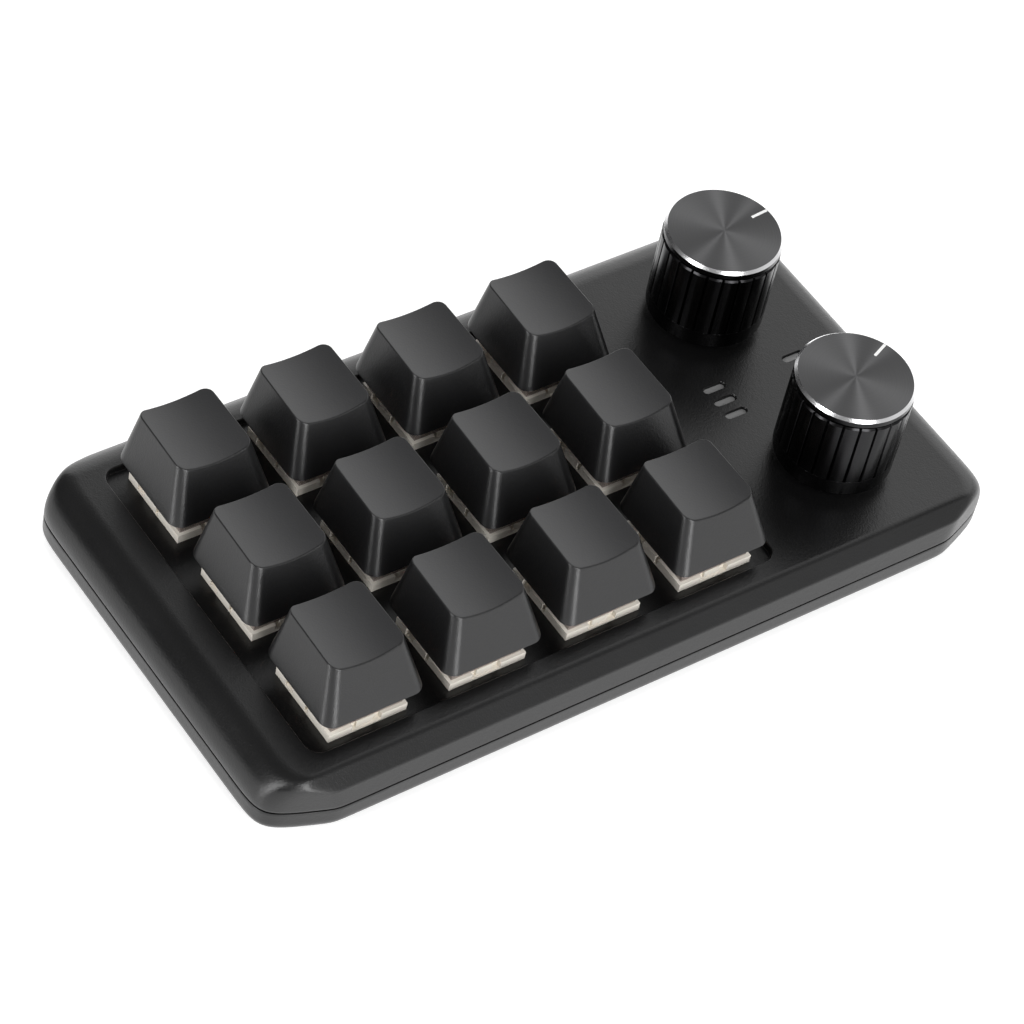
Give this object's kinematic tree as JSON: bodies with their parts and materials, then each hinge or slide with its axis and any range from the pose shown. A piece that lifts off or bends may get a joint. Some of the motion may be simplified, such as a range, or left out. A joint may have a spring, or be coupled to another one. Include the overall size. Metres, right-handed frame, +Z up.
{
  "type": "macro keypad with knobs",
  "caption": "Desk-top macro keypad: a black plastic box with a grid of sprung keys in a shallow well and a pair of fluted knobs that turn and press.",
  "frame": {"origin": "on the plane the feet stand on, under the middle of the case", "axes": "+X along the long edge towards the knobs, +Y to the back edge with the socket, +Z up"},
  "size_m": [0.142, 0.0756, 0.0324],
  "materials": {
    "case_plastic": "fine spark-eroded texture, matte black",
    "keycap_plastic": "fine matte black, tops a little smoother",
    "cream_plastic": "satin cream moulding",
    "clear_plastic": "clear with a warm tint",
    "stem_plastic": "smooth, slightly glossy",
    "spring_steel": "bright wire",
    "contact_metal": "plain",
    "board": "green solder mask over glass-fibre board",
    "diffuser": "smoky translucent grey",
    "led_package": "plain",
    "socket_steel": "stamped sheet",
    "chip_resin": "moulded epoxy",
    "screw_steel": "black oxide",
    "rubber": "matt",
    "knob_metal": "black anodised, turned face with a bright cut edge",
    "core_plastic": "plain moulding",
    "encoder_metal": "plated",
    "shaft_metal": "plain turned"
  },
  "bodies": {
    "case": {"top_case": "case_plastic", "bottom_case": "case_plastic", "circuit_board": "board", "switch_bases": "cream_plastic", "switch_tops": "clear_plastic", "switch_contacts": "contact_metal", "light_guides": "diffuser", "indicator_leds": "led_package", "usb_socket": "socket_steel", "controller_chip": "chip_resin", "case_screws": "screw_steel", "rubber_feet": "rubber", "spring_front_1": "spring_steel", "spring_front_2": "spring_steel", "spring_front_3": "spring_steel", "spring_front_4": "spring_steel", "spring_middle_1": "spring_steel", "spring_middle_2": "spring_steel", "spring_middle_3": "spring_steel", "spring_middle_4": "spring_steel", "spring_back_1": "spring_steel", "spring_back_2": "spring_steel", "spring_back_3": "spring_steel", "spring_back_4": "spring_steel", "encoder_body_back": "encoder_metal", "encoder_body_front": "encoder_metal"},
    "key_front_1": {"keycap_front_1": "keycap_plastic", "stem_front_1": "stem_plastic"},
    "key_front_2": {"keycap_front_2": "keycap_plastic", "stem_front_2": "stem_plastic"},
    "key_front_3": {"keycap_front_3": "keycap_plastic", "stem_front_3": "stem_plastic"},
    "key_front_4": {"keycap_front_4": "keycap_plastic", "stem_front_4": "stem_plastic"},
    "key_middle_1": {"keycap_middle_1": "keycap_plastic", "stem_middle_1": "stem_plastic"},
    "key_middle_2": {"keycap_middle_2": "keycap_plastic", "stem_middle_2": "stem_plastic"},
    "key_middle_3": {"keycap_middle_3": "keycap_plastic", "stem_middle_3": "stem_plastic"},
    "key_middle_4": {"keycap_middle_4": "keycap_plastic", "stem_middle_4": "stem_plastic"},
    "key_back_1": {"keycap_back_1": "keycap_plastic", "stem_back_1": "stem_plastic"},
    "key_back_2": {"keycap_back_2": "keycap_plastic", "stem_back_2": "stem_plastic"},
    "key_back_3": {"keycap_back_3": "keycap_plastic", "stem_back_3": "stem_plastic"},
    "key_back_4": {"keycap_back_4": "keycap_plastic", "stem_back_4": "stem_plastic"},
    "rotor_back": {"encoder_rotor_back": "contact_metal"},
    "knob_back": {"knob_shell_back": "knob_metal", "knob_core_back": "core_plastic", "encoder_shaft_back": "shaft_metal"},
    "rotor_front": {"encoder_rotor_front": "contact_metal"},
    "knob_front": {"knob_shell_front": "knob_metal", "knob_core_front": "core_plastic", "encoder_shaft_front": "shaft_metal"}
  },
  "joints": [
    {"name": "key_front_1_press", "type": "slide", "parent": "case", "child": "key_front_1", "axis": [0, 0, -1], "range_m": [0, 0.004], "stiffness_N_per_m": 75, "springref_m": -0.004, "deforming": ["spring_front_1"]},
    {"name": "key_front_2_press", "type": "slide", "parent": "case", "child": "key_front_2", "axis": [0, 0, -1], "range_m": [0, 0.004], "stiffness_N_per_m": 75, "springref_m": -0.004, "deforming": ["spring_front_2"]},
    {"name": "key_front_3_press", "type": "slide", "parent": "case", "child": "key_front_3", "axis": [0, 0, -1], "range_m": [0, 0.004], "stiffness_N_per_m": 75, "springref_m": -0.004, "deforming": ["spring_front_3"]},
    {"name": "key_front_4_press", "type": "slide", "parent": "case", "child": "key_front_4", "axis": [0, 0, -1], "range_m": [0, 0.004], "stiffness_N_per_m": 75, "springref_m": -0.004, "deforming": ["spring_front_4"]},
    {"name": "key_middle_1_press", "type": "slide", "parent": "case", "child": "key_middle_1", "axis": [0, 0, -1], "range_m": [0, 0.004], "stiffness_N_per_m": 75, "springref_m": -0.004, "deforming": ["spring_middle_1"]},
    {"name": "key_middle_2_press", "type": "slide", "parent": "case", "child": "key_middle_2", "axis": [0, 0, -1], "range_m": [0, 0.004], "stiffness_N_per_m": 75, "springref_m": -0.004, "deforming": ["spring_middle_2"]},
    {"name": "key_middle_3_press", "type": "slide", "parent": "case", "child": "key_middle_3", "axis": [0, 0, -1], "range_m": [0, 0.004], "stiffness_N_per_m": 75, "springref_m": -0.004, "deforming": ["spring_middle_3"]},
    {"name": "key_middle_4_press", "type": "slide", "parent": "case", "child": "key_middle_4", "axis": [0, 0, -1], "range_m": [0, 0.004], "stiffness_N_per_m": 75, "springref_m": -0.004, "deforming": ["spring_middle_4"]},
    {"name": "key_back_1_press", "type": "slide", "parent": "case", "child": "key_back_1", "axis": [0, 0, -1], "range_m": [0, 0.004], "stiffness_N_per_m": 75, "springref_m": -0.004, "deforming": ["spring_back_1"]},
    {"name": "key_back_2_press", "type": "slide", "parent": "case", "child": "key_back_2", "axis": [0, 0, -1], "range_m": [0, 0.004], "stiffness_N_per_m": 75, "springref_m": -0.004, "deforming": ["spring_back_2"]},
    {"name": "key_back_3_press", "type": "slide", "parent": "case", "child": "key_back_3", "axis": [0, 0, -1], "range_m": [0, 0.004], "stiffness_N_per_m": 75, "springref_m": -0.004, "deforming": ["spring_back_3"]},
    {"name": "key_back_4_press", "type": "slide", "parent": "case", "child": "key_back_4", "axis": [0, 0, -1], "range_m": [0, 0.004], "stiffness_N_per_m": 75, "springref_m": -0.004, "deforming": ["spring_back_4"]},
    {"name": "knob_back_turn", "type": "hinge", "parent": "case", "child": "rotor_back", "pos_m": [0.048, 0.01815, 0.0082], "axis": [0, 0, 1], "continuous": true},
    {"name": "knob_back_press", "type": "slide", "parent": "rotor_back", "child": "knob_back", "axis": [0, 0, -1], "range_m": [0, 0.0005], "stiffness_N_per_m": 4000, "springref_m": -0.0005},
    {"name": "knob_front_turn", "type": "hinge", "parent": "case", "child": "rotor_front", "pos_m": [0.048, -0.01815, 0.0082], "axis": [0, 0, 1], "continuous": true},
    {"name": "knob_front_press", "type": "slide", "parent": "rotor_front", "child": "knob_front", "axis": [0, 0, -1], "range_m": [0, 0.0005], "stiffness_N_per_m": 4000, "springref_m": -0.0005}
  ]
}
